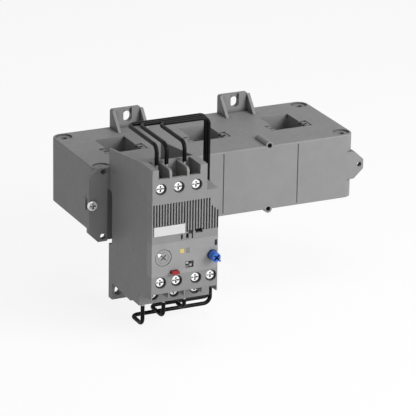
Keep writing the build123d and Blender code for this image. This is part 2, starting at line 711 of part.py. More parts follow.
def make_bracket_screws():
    """One screw in the block's left ear and two in its front bosses."""
    screws = [panhead(-EAR_HOLE_X, 0, ADAPTER_BACK, BRACKET_HEAD_R, BRACKET_HEAD_T,
                      EAR_HOLE_R - THREAD_FIT, BRACKET_T + EAR_T)]
    for side in (-1, 1):
        screws.append(panhead(-BOSS_X, side * BLOCK_TOP, ADAPTER_BACK, BRACKET_HEAD_R, BRACKET_HEAD_T,
                              BOSS_HOLE_R - THREAD_FIT, BRACKET_T + BOSS_HOLE_DEPTH - 1))
    return screws


def make_adapter():
    """The mounting adapter: a slotted back plate with two cheeks beside the relay."""
    body = slab((RELAY_LEFT, RELAY_RIGHT), (ADAPTER_PLATE_FACE, ADAPTER_BACK), (ADAPTER_BOTTOM, ADAPTER_TOP))
    for x in (RELAY_LEFT, RELAY_RIGHT - SHELL_T):
        body += slab((x, x + SHELL_T), (CHEEK_FACE, ADAPTER_PLATE_FACE), (RELAY_BOTTOM, ADAPTER_TOP))
    for z in (RELAY_BOTTOM, ADAPTER_TOP - SHELL_T):
        body += slab((RELAY_LEFT, RELAY_RIGHT), (CHEEK_FACE, ADAPTER_PLATE_FACE), (z, z + SHELL_T))
    for x in (RELAY_LEFT, RELAY_RIGHT - ADAPTER_NOTCH_WIDTH):
        notch = slab((x - 1, x + ADAPTER_NOTCH_WIDTH + 1),
                     (ADAPTER_BACK - ADAPTER_NOTCH_DEPTH, ADAPTER_BACK + 1),
                     (ADAPTER_NOTCH_BOTTOM, ADAPTER_NOTCH_TOP))
        body -= fillet(notch.edges().filter_by(Axis.X).sort_by(Axis.Y)[:2], ADAPTER_NOTCH_R)
    for x in (RELAY_LEFT + ADAPTER_SLOT_INSET, RELAY_RIGHT - ADAPTER_SLOT_INSET):
        slot = SlotOverall(ADAPTER_SLOT_LENGTH, ADAPTER_SLOT_WIDTH, rotation=90)
        body -= extrude(Plane.XZ * Pos(x, ADAPTER_SLOT_Z) * slot, 2 * BLOCK_WIDTH)
    for x, z in adapter_screw_places():
        body -= rod_y(x, z, ADAPTER_SCREW_R + SCREW_CLEARANCE, (ADAPTER_PLATE_FACE - 1, ADAPTER_BACK + 1))
    return body


def make_adapter_screws():
    """The screws between adapter and bracket, their heads behind the relay."""
    return [panhead(x, z, ADAPTER_PLATE_FACE, BRACKET_HEAD_R, BRACKET_HEAD_T, ADAPTER_SCREW_R,
                    ADAPTER_PLATE_T + BRACKET_T - INSIDE_GAP) for x, z in adapter_screw_places()]


def make_rear_housing():
    """The relay's rear shell: electronics bay, wings beside the leads and the stepped terminal tier."""
    raised = RELAY_BOTTOM + TIER_FOOT_RISE
    side_profile = [(CHEEK_FACE, SHOULDER_Z), (COVER_BACK, SHOULDER_Z), (COVER_BACK, FASCIA_BOTTOM),
                    (TIER_FACE, FASCIA_BOTTOM), (TIER_FACE, raised), (TIER_FACE + TIER_FOOT_START, raised),
                    (TIER_FACE + TIER_FOOT_LOWEST, RELAY_BOTTOM - TIER_FOOT_DROP), (CHEEK_FACE, RELAY_BOTTOM)]
    body = prism_x(side_profile, (RELAY_LEFT, RELAY_RIGHT))
    body += slab((RELAY_RIGHT, RELAY_RIGHT + TIER_FLANGE), (TIER_FACE, TIER_FACE + TIER_FLANGE_T),
                 (raised, AUX_BOTTOM))
    inside = (RELAY_LEFT + SHELL_T, RELAY_RIGHT - SHELL_T)
    body -= slab(inside, (TIER_FACE + SHELL_T, CHEEK_FACE - SHELL_T), (TIER_FLOOR, SHOULDER_Z - SHELL_T))
    body -= slab(inside, (COVER_BACK - 1, TIER_FACE + SHELL_T + 1),
                 (FASCIA_BOTTOM + SHELL_T, SHOULDER_Z - SHELL_T))
    wing = [(ADAPTER_BACK, SHOULDER_Z), (RIDGE_Y, SHOULDER_Z), (RIDGE_Y, TOP_Z - WING_DROP),
            (ADAPTER_BACK, WING_REAR_TOP)]
    for x in (RELAY_LEFT, SHOULDER_RIGHT - WING_T):
        body += prism_x(wing, (x, x + WING_T))
    body += slab((RELAY_LEFT, RELAY_RIGHT), (CHEEK_FACE, ADAPTER_BACK),
                 (ADAPTER_TOP + ADAPTER_ROOF_GAP, SHOULDER_Z))
    body += spring_seat() + trip_shelf()
    for x in MAIN_XS:
        body -= screw_pocket(x + MAIN_SCREW_SHIFT, MAIN_SCREW_Z, TIER_FACE)
        body -= clamp_pocket(x, MAIN_CLAMP_WIDTH, TIER_FACE, (MAIN_CLAMP_BOTTOM, TIER_FLOOR + 1))
        body -= rod_z(x, BLOCK_FACE - BOTTOM_LEAD_Y, ENTRY_R, (RELAY_BOTTOM - 5, MAIN_CLAMP_BOTTOM))
    for low, high in bay_bounds():
        body -= strip_slot((low + high) / 2, (SHOULDER_Z - SHELL_T - 1, SHOULDER_Z + 1))
    for x in AUX_XS:
        body -= contact_slot(x, (FASCIA_BOTTOM - 1, FASCIA_BOTTOM + SHELL_T + 1))
    return body


def clamp_pocket(x, width, face, zs):
    """The room for a clamp of a given width behind a terminal face."""
    half = width / 2 + CLAMP_FIT
    ys = (face + CLAMP_FRONT - CLAMP_FIT, face + CLAMP_FRONT + CLAMP_LENGTH + CLAMP_FIT)
    return slab((x - half, x + half), ys, (zs[0] - CLAMP_FIT, zs[1] + CLAMP_FIT))


def strip_slot(x, zs):
    """The slot that an upright conductor passes through."""
    half = STRIP_WIDTH / 2 + STRIP_GAP
    y = RELAY_FACE + STRIP_FRONT_DEPTH
    return slab((x - half, x + half), (y - STRIP_GAP, y + STRIP_T + STRIP_GAP), zs)


def contact_slot(x, zs):
    """The slot that a fixed contact passes through."""
    half = CONTACT_WIDTH / 2 + STRIP_GAP
    y = RELAY_FACE + CONTACT_DEPTH
    return slab((x - half, x + half), (y - STRIP_GAP, y + CONTACT_T + STRIP_GAP), zs)


def spring_seat():
    """A rib inside the right wall that carries the reset spring and guides the plunger."""
    y = RELAY_FACE + SPRING_SEAT_DEPTH
    x = RELAY_LEFT + KNOB_X
    seat = slab((x - SPRING_SEAT_WIDTH / 2, RELAY_RIGHT - SHELL_T), (y, y + SPRING_SEAT_T),
                (KNOB_Z - SPRING_SEAT_WIDTH / 2, KNOB_Z + SPRING_SEAT_WIDTH / 2))
    return seat - rod_y(x, KNOB_Z, STEM_REAR_R + PLUNGER_GAP, (y - 1, y + SPRING_SEAT_T + 1))


def trip_shelf():
    """A cross rib that the trip magnet hangs from."""
    y = RELAY_FACE + SHELF_DEPTH
    return slab((RELAY_LEFT + SHELL_T, RELAY_RIGHT - SHELL_T), (y, y + SHELF_LENGTH),
                (SHELF_Z, SHELF_Z + SHELF_T))


def bay_bounds():
    """Left and right X of each upper terminal bay."""
    centre = RELAY_LEFT + BAY_CENTRE
    inner = BAY_MIDDLE_WIDTH / 2
    outer = inner + BAY_BARRIER_T
    return [(centre - outer - BAY_SIDE_WIDTH, centre - outer), (centre - inner, centre + inner),
            (centre + outer, centre + outer + BAY_SIDE_WIDTH)]


def make_front_cover():
    """The front cover: upper terminal block with three bays, ventilation grille and marker recesses."""
    body = slab((RELAY_LEFT, RELAY_RIGHT), (RELAY_FACE, COVER_BACK), (FASCIA_TOP, SHOULDER_Z))
    body += slab((RELAY_LEFT, SHOULDER_RIGHT), (RELAY_FACE, RIDGE_Y), (SHOULDER_Z, TOP_Z))
    bays = bay_bounds()
    for low, high in bays:
        body -= slab((low, high), (RELAY_FACE + BAY_FRONT_T, RIDGE_Y - BAY_BACK_T), (BAY_FLOOR_Z, TOP_Z + 1))
        body -= slab((low, high), (RELAY_FACE - 1, RELAY_FACE + BAY_FRONT_T), (BAY_SILL_Z, TOP_Z + 1))
    for (_, low), (high, _) in zip(bays, bays[1:]):
        body -= slab((low, high), (RELAY_FACE - 1, RIDGE_Y - BAY_BACK_T), (BAY_BARRIER_TOP, TOP_Z + 1))
        nose = slab((low, high), (RELAY_FACE, RELAY_FACE + BARRIER_NOSE_R),
                    (BAY_BARRIER_TOP - BARRIER_NOSE_R, BAY_BARRIER_TOP))
        curve = Pos((low + high) / 2, RELAY_FACE + BARRIER_NOSE_R, BAY_BARRIER_TOP - BARRIER_NOSE_R)
        body -= nose - curve * Rot(0, 90, 0) * Cylinder(BARRIER_NOSE_R, high - low)
    for x in TOP_SCREW_XS:
        body -= screw_pocket(x, TOP_SCREW_Z, RELAY_FACE)
    for low, high in bays:
        body -= clamp_pocket((low + high) / 2, high - low + 2 * TOP_CLAMP_MARGIN, RELAY_FACE,
                             (TOP_CLAMP_BOTTOM, BAY_FLOOR_Z))
        body -= strip_slot((low + high) / 2, (SHOULDER_Z - 1, TOP_CLAMP_BOTTOM))
    cavity = slab((RELAY_LEFT + SHELL_T, RELAY_RIGHT - SHELL_T), (RELAY_FACE + SHELL_T, COVER_BACK + 1),
                  (FASCIA_TOP - 1, SHOULDER_Z - SHELL_T))
    body -= cavity
    body -= grille_slots()
    for left, right, bottom, top in LATCH_WINDOWS:
        body -= slab((RELAY_LEFT + left, RELAY_LEFT + right), (RELAY_FACE - 1, RELAY_FACE + SHELL_T + 1),
                     (bottom, top))
    label_x = RELAY_LEFT + LABEL_LEFT
    body -= slab((label_x, label_x + LABEL_WIDTH), (RELAY_FACE - 1, RELAY_FACE + LABEL_T - LABEL_PROUD),
                 (LABEL_BOTTOM, LABEL_BOTTOM + LABEL_HEIGHT))
    return body


def grille_slots():
    """The row of upright ventilation slots, the last ones stepped down beside the shoulder."""
    slots = []
    for i in range(GRILLE_COUNT):
        x = RELAY_LEFT + GRILLE_FIRST + i * GRILLE_PITCH
        from_right = GRILLE_COUNT - 1 - i
        top = GRILLE_TOP
        if from_right < GRILLE_STEPPED:
            top -= GRILLE_STEP_DROP + (GRILLE_STEPPED - 1 - from_right) * GRILLE_STEP
        over_label = x < RELAY_LEFT + LABEL_LEFT + LABEL_WIDTH
        bottom = LABEL_BOTTOM + LABEL_HEIGHT if over_label else GRILLE_BOTTOM
        slots.append(slab((x - GRILLE_SLOT / 2, x + GRILLE_SLOT / 2),
                          (RELAY_FACE - 1, RELAY_FACE + SHELL_T + 1), (bottom, top)))
    return slots


def make_label():
    """The blank marker plate, standing a little proud of the cover."""
    x = RELAY_LEFT + LABEL_LEFT
    return slab((x + LABEL_FIT, x + LABEL_WIDTH - LABEL_FIT),
                (RELAY_FACE - LABEL_PROUD, RELAY_FACE + LABEL_T - LABEL_PROUD),
                (LABEL_BOTTOM + LABEL_FIT, LABEL_BOTTOM + LABEL_HEIGHT - LABEL_FIT))


def make_fascia():
    """The operating fascia with the openings for its controls."""
    body = slab((RELAY_LEFT, RELAY_RIGHT), (RELAY_FACE, COVER_BACK), (FASCIA_BOTTOM, FASCIA_TOP))
    body -= slab((RELAY_LEFT + SHELL_T, RELAY_RIGHT - SHELL_T), (RELAY_FACE + SHELL_T, COVER_BACK + 1),
                 (FASCIA_BOTTOM + SHELL_T, FASCIA_TOP + 1))
    front = (RELAY_FACE - 1, RELAY_FACE + SHELL_T + 1)
    body -= rod_y(RELAY_LEFT + DIAL_X, DIAL_Z, DIAL_R + KNOB_GAP, front)
    body -= rod_y(RELAY_LEFT + KNOB_X, KNOB_Z, KNOB_R + KNOB_GAP, (RELAY_FACE - 1, COVER_BACK + 1))
    openings = ((LED_X, LED_Z, LED_SIZE, LED_SIZE), (SIGNAL_X, LED_Z, SIGNAL_WIDTH, SIGNAL_HEIGHT),
                (SELECTOR_X, SELECTOR_Z, SELECTOR_WIDTH, SELECTOR_HEIGHT),
                (TEST_X, TEST_Z, TEST_WIDTH + 2 * TEST_GAP, TEST_HEIGHT + 2 * TEST_GAP))
    for offset, z, width, height in openings:
        x = RELAY_LEFT + offset
        depth = (RELAY_FACE - 1, COVER_BACK + 1) if offset == TEST_X else front
        body -= slab((x - width / 2, x + width / 2), depth, (z - height / 2, z + height / 2))
    notch = RELAY_RIGHT - NOTCH_EDGE
    return body - slab((notch - NOTCH_WIDTH, notch), (RELAY_FACE - 1, RELAY_FACE + NOTCH_DEPTH),
                       (NOTCH_BOTTOM, NOTCH_TOP))


def make_aux_block():
    """The auxiliary terminal block under the fascia, with barriers between its wire entries."""
    body = slab((RELAY_LEFT, RELAY_RIGHT), (RELAY_FACE, TIER_FACE), (AUX_BOTTOM, FASCIA_BOTTOM))
    cheek = [(RELAY_FACE, AUX_BOTTOM), (TIER_FACE, AUX_BOTTOM),
             (TIER_FACE, AUX_BARRIER_BOTTOM - AUX_CHEEK_SLOPE), (RELAY_FACE, AUX_BARRIER_BOTTOM)]
    for x in (RELAY_LEFT, RELAY_RIGHT - AUX_CHEEK_T):
        body += prism_x(cheek, (x, x + AUX_CHEEK_T))
    for offset in AUX_BARRIERS:
        x = RELAY_LEFT + offset
        body += prism_x(cheek, (x - AUX_BARRIER_T / 2, x + AUX_BARRIER_T / 2))
    for x in AUX_XS:
        body -= screw_pocket(x, AUX_SCREW_Z, RELAY_FACE)
        body -= clamp_pocket(x, AUX_CLAMP_WIDTH, RELAY_FACE, (AUX_CLAMP_BOTTOM, AUX_CLAMP_TOP))
        body -= rod_z(x, RELAY_FACE + CLAMP_FRONT + CLAMP_LENGTH / 2, ENTRY_R,
                      (AUX_BOTTOM - 1, AUX_CLAMP_BOTTOM))
        body -= contact_slot(x, (AUX_CLAMP_TOP, FASCIA_BOTTOM + 1))
    return body


def clamp(x, screw_x, width, face, screw_z, zs, entry_y):
    """A cage clamp: threaded for its screw, with an upright slot for the conductor end."""
    ys = (face + CLAMP_FRONT, face + CLAMP_FRONT + CLAMP_LENGTH)
    body = slab((x - width / 2, x + width / 2), ys, zs)
    half = width / 2 - CLAMP_WALL
    body -= slab((x - half, x + half), (entry_y - FERRULE_R - LEAD_FIT, entry_y + ENTRY_R),
                 (zs[0] - 1, zs[1] + 1))
    return body - rod_y(screw_x, screw_z, SHANK_R + LEAD_FIT, (ys[0] - 1, entry_y))


def make_top_clamps():
    """The three clamps of the upper terminals, one in each bay."""
    clamps = []
    for (low, high), screw_x in zip(bay_bounds(), TOP_SCREW_XS):
        width = high - low + 2 * TOP_CLAMP_MARGIN
        clamps.append(clamp((low + high) / 2, screw_x, width, RELAY_FACE, TOP_SCREW_Z,
                            (TOP_CLAMP_BOTTOM, TOP_CLAMP_TOP), BLOCK_FACE - TOP_LEAD_Y))
    return clamps


def make_aux_clamps():
    """The four clamps of the auxiliary terminals."""
    entry = RELAY_FACE + AUX_ENTRY_DEPTH
    return [clamp(x, x, AUX_CLAMP_WIDTH, RELAY_FACE, AUX_SCREW_Z, (AUX_CLAMP_BOTTOM, AUX_CLAMP_TOP), entry)
            for x in AUX_XS]


def make_main_clamps():
    """The three clamps of the lower main terminals."""
    zs = (MAIN_CLAMP_BOTTOM, MAIN_CLAMP_TOP)
    return [clamp(x, x + MAIN_SCREW_SHIFT, MAIN_CLAMP_WIDTH, TIER_FACE, MAIN_SCREW_Z, zs,
                  BLOCK_FACE - BOTTOM_LEAD_Y) for x in MAIN_XS]


def make_conductors():
    """The current paths from the upper clamps down to the lower ones."""
    strips = []
    front = RELAY_FACE + STRIP_FRONT_DEPTH
    rear = RELAY_FACE + STRIP_REAR_DEPTH
    half = STRIP_WIDTH / 2
    for (low, high), x_low in zip(bay_bounds(), MAIN_XS):
        x = (low + high) / 2
        strip = slab((x - half, x + half), (front, front + STRIP_T), (STRIP_JOG_Z, TOP_CLAMP_BOTTOM))
        jog = [(x - half, front), (x + half, front), (x_low + half, rear), (x_low + half, rear + STRIP_T),
               (x_low - half, rear + STRIP_T), (x_low - half, rear)]
        strip += prism_z(jog, (STRIP_JOG_Z, STRIP_JOG_Z + STRIP_T))
        strip += slab((x_low - half, x_low + half), (rear, rear + STRIP_T),
                      (MAIN_CLAMP_TOP, STRIP_JOG_Z + STRIP_T))
        strips.append(strip)
    return strips


def make_toroids():
    """The measuring rings of the relay, standing on the tier's floor round the conductors."""
    y = RELAY_FACE + STRIP_REAR_DEPTH + STRIP_T / 2
    zs = (TIER_FLOOR, TIER_FLOOR + TOROID_HEIGHT)
    return [rod_z(x, y, TOROID_R, zs) - rod_z(x, y, TOROID_HOLE_R, (zs[0] - 1, zs[1] + 1)) for x in MAIN_XS]


def make_board():
    """The circuit board behind the fascia, with a hole for the reset plunger and its spring."""
    y = RELAY_FACE + BOARD_DEPTH
    side = SHELL_T + BOARD_MARGIN
    board = slab((RELAY_LEFT + side, RELAY_RIGHT - side), (y, y + BOARD_T), (BOARD_BOTTOM, BOARD_TOP))
    return board - rod_y(RELAY_LEFT + KNOB_X, KNOB_Z, SPRING_R + 2 * KNOB_GAP, (y - 1, y + BOARD_T + 1))


def make_board_parts():
    """A few plain components on the board's front."""
    face = RELAY_FACE + BOARD_DEPTH
    parts = []
    for left, right, bottom, top, height in BOARD_CHIPS:
        parts.append(slab((RELAY_LEFT + left, RELAY_LEFT + right), (face - height, face), (bottom, top)))
    for offset in CAPACITOR_XS:
        parts.append(rod_y(RELAY_LEFT + offset, CAPACITOR_Z, CAPACITOR_R, (face - CAPACITOR_HEIGHT, face)))
    return parts


def make_potentiometer():
    """The setting potentiometer on the board, turned by the dial's shaft."""
    face = RELAY_FACE + BOARD_DEPTH
    x = RELAY_LEFT + DIAL_X
    half = POT_SIZE / 2
    body = slab((x - half, x + half), (face - POT_DEPTH, face), (DIAL_Z - half, DIAL_Z + half))
    return body - rod_y(x, DIAL_Z, DIAL_SHAFT_R + RUNNING_FIT, (face - POT_DEPTH - 1, face - POT_FLOOR))


def dial_pointer(grow=0.0):
    """The white pointer let into the dial's face, or its pocket when grown forward."""
    x = RELAY_LEFT + DIAL_X
    face = RELAY_FACE + INSIDE_GAP
    return prism_y([(x + dx, DIAL_Z + dz) for dx, dz in DIAL_POINTER], (face - grow, face + DIAL_POINTER_T))


def make_dial():
    """The setting dial: a disc just behind the fascia's front, a flange behind it and a shaft."""
    x = RELAY_LEFT + DIAL_X
    face = RELAY_FACE + INSIDE_GAP
    flange = RELAY_FACE + SHELL_T + INSIDE_GAP
    back = flange + DIAL_FLANGE_T
    body = rod_y(x, DIAL_Z, DIAL_R, (face, back))
    body += rod_y(x, DIAL_Z, DIAL_FLANGE_R, (flange, back))
    body += rod_y(x, DIAL_Z, DIAL_SHAFT_R, (back, RELAY_FACE + BOARD_DEPTH - POT_FLOOR - INSIDE_GAP))
    ring = rod_y(x, DIAL_Z, DIAL_RING_R, (face - 1, face + DIAL_RING_DEPTH))
    ring -= rod_y(x, DIAL_Z, DIAL_RING_R - DIAL_RING_WIDTH, (face - 2, face + 1))
    blade = Box(DIAL_SLOT_SPAN, 2 * DIAL_SLOT_DEPTH, DIAL_SLOT_WIDTH)
    for spin in (45, 135):
        body -= Pos(x, face, DIAL_Z) * Rot(0, spin, 0) * blade
    return body - ring - dial_pointer(1.0)


def make_knob():
    """The reset knob: a cylinder with a cross recess, a pointer nub and a socket for its plunger."""
    x = RELAY_LEFT + KNOB_X
    front = RELAY_FACE - KNOB_PROUD
    back = RELAY_FACE + KNOB_BACK
    body = rod_y(x, KNOB_Z, KNOB_R, (front, back))
    body = chamfer(body.edges().filter_by(GeomType.CIRCLE).sort_by(Axis.Y)[:1], KNOB_CHAMFER)
    nub = Pos(KNOB_NUB_REACH / 2, 0, 0) * Box(KNOB_NUB_REACH, KNOB_NUB_LENGTH, KNOB_NUB_WIDTH)
    body += Pos(x, front + KNOB_NUB_LENGTH / 2, KNOB_Z) * Rot(0, 45, 0) * nub
    body -= rod_y(x, KNOB_Z, STEM_R + RUNNING_FIT, (back - KNOB_SOCKET, back + 1))
    for spin in (0, 90):
        blade = Box(KNOB_CROSS_SPAN, 2 * KNOB_CROSS_DEPTH, KNOB_CROSS_WIDTH)
        body -= Pos(x, front, KNOB_Z) * Rot(0, spin + KNOB_CROSS_SPIN, 0) * blade
    return body


def make_reset_plunger():
    """The plunger behind the reset knob, with the collar its spring pushes on."""
    x = RELAY_LEFT + KNOB_X
    back = RELAY_FACE + KNOB_BACK
    front = back - KNOB_SOCKET + INSIDE_GAP
    collar = back + INSIDE_GAP
    wall = RELAY_RIGHT - SHELL_T - INSIDE_GAP
    flat = slab((x - 2 * COLLAR_R, wall), (collar, collar + COLLAR_T),
                (KNOB_Z - COLLAR_R, KNOB_Z + COLLAR_R))
    plunger = rod_y(x, KNOB_Z, COLLAR_R, (collar, collar + COLLAR_T)) & flat
    plunger += rod_y(x, KNOB_Z, STEM_R, (front, collar))
    return plunger + rod_y(x, KNOB_Z, STEM_REAR_R, (collar, RELAY_FACE + STEM_END))


def coil_spring(x, z, radius, wire, ys, turns):
    """A compression spring along Y between two depths."""
    length = abs(ys[1] - ys[0]) - 2 * wire
    helix = Pos(x, max(ys) - wire, z) * Rot(90, 0, 0) * Helix(length / turns, length, radius)
    return sweep(Plane(origin=helix @ 0, z_dir=helix % 0) * Circle(wire), path=helix)


def make_reset_spring():
    """The reset spring at its pressed length, standing on its seat."""
    seat = RELAY_FACE + SPRING_SEAT_DEPTH
    pressed = RELAY_FACE + KNOB_BACK + INSIDE_GAP + COLLAR_T + KNOB_TRAVEL
    return coil_spring(RELAY_LEFT + KNOB_X, KNOB_Z, SPRING_R, SPRING_WIRE_R, (pressed + INSIDE_GAP, seat),
                       SPRING_TURNS)


def make_test_button():
    """The test button: a rectangular cap, a flange behind the fascia and a round stem."""
    x = RELAY_LEFT + TEST_X
    flange = RELAY_FACE + SHELL_T + INSIDE_GAP
    back = flange + TEST_FLANGE_T
    half = TEST_WIDTH / 2
    body = slab((x - half, x + half), (RELAY_FACE - TEST_PROUD, back),
                (TEST_Z - TEST_HEIGHT / 2, TEST_Z + TEST_HEIGHT / 2))
    body = fillet(body.edges().filter_by(Axis.Y), TEST_CORNER_R)
    body += slab((x - half - TEST_FLANGE_SIDE, x + half + TEST_FLANGE_SIDE), (flange, back),
                 (TEST_Z, TEST_Z + TEST_FLANGE_RISE))
    end = RELAY_FACE + BOARD_DEPTH - TEST_TRAVEL - INSIDE_GAP
    return body + rod_y(x, TEST_Z + TEST_STEM_RAISE, TEST_STEM_R, (back, end))


def make_test_spring():
    """The test button's spring at its pressed length, standing on the board."""
    board = RELAY_FACE + BOARD_DEPTH
    pressed = RELAY_FACE + SHELL_T + INSIDE_GAP + TEST_FLANGE_T + TEST_TRAVEL
    return coil_spring(RELAY_LEFT + TEST_X, TEST_Z + TEST_STEM_RAISE, TEST_SPRING_R, TEST_SPRING_WIRE_R,
                       (pressed + INSIDE_GAP, board), TEST_SPRING_TURNS)


def slider_place(side):
    """Centre of one selector slider at rest: the left one up, the right one down."""
    return RELAY_LEFT + SELECTOR_X + side * SLIDER_PITCH / 2, SELECTOR_Z - side * SLIDER_TRAVEL / 2


def make_selector_body():
    """The selector switch on the board, with one upright channel per slider."""
    x = RELAY_LEFT + SELECTOR_X
    front = RELAY_FACE + SHELL_T
    body = slab((x - SELECTOR_WIDTH / 2, x + SELECTOR_WIDTH / 2),
                (front + INSIDE_GAP, RELAY_FACE + BOARD_DEPTH),
                (SELECTOR_Z - SELECTOR_HEIGHT / 2, SELECTOR_Z + SELECTOR_HEIGHT / 2))
    half = (SLIDER_HEIGHT + SLIDER_TRAVEL) / 2 + SLIDER_GAP
    for side in (-1, 1):
        slider_x = slider_place(side)[0]
        body -= slab((slider_x - SLIDER_WIDTH / 2 - SLIDER_GAP, slider_x + SLIDER_WIDTH / 2 + SLIDER_GAP),
                     (front, front + SLIDER_LENGTH), (SELECTOR_Z - half, SELECTOR_Z + half))
    return body


def make_slider(side):
    """One small slider of the selector."""
    x, z = slider_place(side)
    front = RELAY_FACE + SHELL_T / 2
    return slab((x - SLIDER_WIDTH / 2, x + SLIDER_WIDTH / 2), (front, front + SLIDER_LENGTH),
                (z - SLIDER_HEIGHT / 2, z + SLIDER_HEIGHT / 2))


def make_light_pipe(x, width, height):
    """A rectangular lens in the fascia with its light pipe back to the board."""
    gap = LEAD_FIT
    centre = RELAY_LEFT + x
    return slab((centre - width / 2 + gap, centre + width / 2 - gap),
                (RELAY_FACE + gap, RELAY_FACE + BOARD_DEPTH),
                (LED_Z - height / 2 + gap, LED_Z + height / 2 - gap))


def make_solenoid():
    """The trip magnet: a coil under its yoke plate, hanging from the shelf."""
    y = RELAY_FACE + COIL_DEPTH
    coil = rod_z(COIL_X, y, COIL_R, (COIL_BOTTOM, SHELF_Z - YOKE_T))
    coil += slab((COIL_X - COIL_R, COIL_X + COIL_R), (y - COIL_R, y + COIL_R), (SHELF_Z - YOKE_T, SHELF_Z))
    return coil - rod_z(COIL_X, y, PLUNGER_R + PLUNGER_GAP, (COIL_BOTTOM - 1, PLUNGER_TOP + TRIP_TRAVEL + 1))


def make_armature():
    """The magnet's plunger, fixed on top of the contact carrier."""
    return rod_z(COIL_X, RELAY_FACE + COIL_DEPTH, PLUNGER_R, (BAR_TOP, PLUNGER_TOP))


def contact_pairs():
    """X of the two fixed contacts of each switching pair."""
    return (AUX_XS[0], AUX_XS[1]), (AUX_XS[2], AUX_XS[3])


def make_fixed_contacts():
    """Four fixed contacts: each rises from its clamp and turns back into a pad."""
    contacts = []
    y = RELAY_FACE + CONTACT_DEPTH
    for x in AUX_XS:
        half = CONTACT_WIDTH / 2
        upright = slab((x - half, x + half), (y, y + CONTACT_T), (AUX_CLAMP_TOP, PAD_Z + PAD_T))
        contacts.append(upright + slab((x - half, x + half), (y, y + PAD_LENGTH), (PAD_Z, PAD_Z + PAD_T)))
    return contacts


def bridge_tops():
    """Heights of the two bridges' upper faces: one closed on its pads, one open below them."""
    return PAD_Z + PAD_T + BRIDGE_T, PAD_Z - TRIP_TRAVEL - CONTACT_OPENING


def make_moving_contacts():
    """The two contact bridges on the carrier."""
    front = RELAY_FACE + BRIDGE_DEPTH - BRIDGE_OVERLAP
    bridges = []
    for (left, right), top in zip(contact_pairs(), bridge_tops()):
        bridges.append(slab((left - BRIDGE_OVERLAP, right + BRIDGE_OVERLAP), (front, front + BRIDGE_LENGTH),
                            (top - BRIDGE_T, top)))
    return bridges


def make_contact_carrier():
    """The carrier bar under the magnet, with one leg down to each bridge."""
    y = RELAY_FACE + BAR_DEPTH
    half = BAR_LEG_WIDTH / 2
    middles = [sum(pair) / 2 for pair in contact_pairs()]
    body = slab((middles[0] - BAR_REACH, middles[1] + half), (y, y + BAR_T), (BAR_BOTTOM, BAR_TOP))
    leg = RELAY_FACE + BRIDGE_DEPTH
    for x, top in zip(middles, bridge_tops()):
        body += slab((x - half, x + half), (leg, leg + BAR_LEG_T), (top, BAR_BOTTOM))
    return body


def top_drop_x(i):
    """X of one upper lead where it runs down in front of the block."""
    return GLAND_X + TOP_DROP_OFFSET - i * TOP_DROP_LEAN


def make_gland():
    """The lead gland in the block's front wall, one hole per lead."""
    half = GLAND_WIDTH / 2 - SCREW_CLEARANCE
    inner = BLOCK_FACE + BLOCK_WALL
    body = slab((GLAND_X - half, GLAND_X + half), (BLOCK_FACE - GLAND_PROUD, inner),
                (GLAND_BOTTOM + SCREW_CLEARANCE, GLAND_TOP - SCREW_CLEARANCE))
    body += slab((GLAND_X - half - GLAND_FLANGE, GLAND_X + half + GLAND_FLANGE),
                 (inner, inner + GLAND_FLANGE_T), (GLAND_BOTTOM - GLAND_FLANGE, GLAND_TOP + GLAND_FLANGE))
    holes = [(top_drop_x(i), TOP_ENTRY_Z - i * LEAD_PITCH) for i in range(3)]
    holes += list(zip(BOTTOM_RISER_XS, BOTTOM_ENTRY_ZS))
    for x, z in holes:
        body -= rod_y(x, z, LEAD_R + LEAD_FIT, (BLOCK_FACE - GLAND_PROUD - 1, inner + GLAND_FLANGE_T + 1))
    return body


def make_top_ferrules():
    """The bare ends of the upper leads in their clamps."""
    y = BLOCK_FACE - TOP_LEAD_Y
    zs = (TOP_CLAMP_BOTTOM + FERRULE_END, TOP_LEAD_START)
    return [rod_z(x, y, FERRULE_R, zs) for x in TOP_LEAD_XS]


def make_bottom_ferrules():
    """The bare ends of the lower leads in their clamps."""
    y = BLOCK_FACE - BOTTOM_LEAD_Y
    zs = (BOTTOM_LEAD_START, MAIN_CLAMP_TOP - FERRULE_END)
    return [rod_z(x, y, FERRULE_R, zs) for x in MAIN_XS]


def bend_path(points, radius=LEAD_BEND_R):
    """A wire centre line with the same bend at every corner."""
    return FilletPolyline(*points, radius=radius)


def tube(path, radius):
    """A round solid along a path."""
    return sweep(Plane(origin=path @ 0, z_dir=path % 0) * Circle(radius), path=path)


def make_top_lead(i):
    """One upper lead: up from its bay, back, along the block and down into the gland."""
    x = TOP_LEAD_XS[i]
    front = BLOCK_FACE - TOP_LEAD_Y
    run = BLOCK_FACE - TOP_DROP_Y - i * LEAD_PITCH
    entry = TOP_ENTRY_Z - i * LEAD_PITCH
    drop = top_drop_x(i)
    points = [(x, front, TOP_LEAD_START), (x, front, TOP_LEAD_Z), (x, run, TOP_LEAD_Z),
              (drop, run, TOP_LEAD_Z), (drop, run, entry), (drop, BLOCK_FACE + BLOCK_WALL + 1, entry)]
    return tube(bend_path(points), LEAD_R)


def make_bottom_lead(i):
    """One lower lead: down from its terminal, back, along under the relay and up into the gland."""
    x = MAIN_XS[i]
    front = BLOCK_FACE - BOTTOM_LEAD_Y
    run = BLOCK_FACE - BOTTOM_RISER_YS[i]
    low = BOTTOM_LEAD_ZS[i]
    entry = BOTTOM_ENTRY_ZS[i]
    rise = BOTTOM_RISER_XS[i]
    points = [(x, front, BOTTOM_LEAD_START), (x, front, low), (x, run, low), (rise, run, low),
              (rise, run, entry), (rise, BLOCK_FACE + BLOCK_WALL + 1, entry)]
    return tube(bend_path(points), LEAD_R)


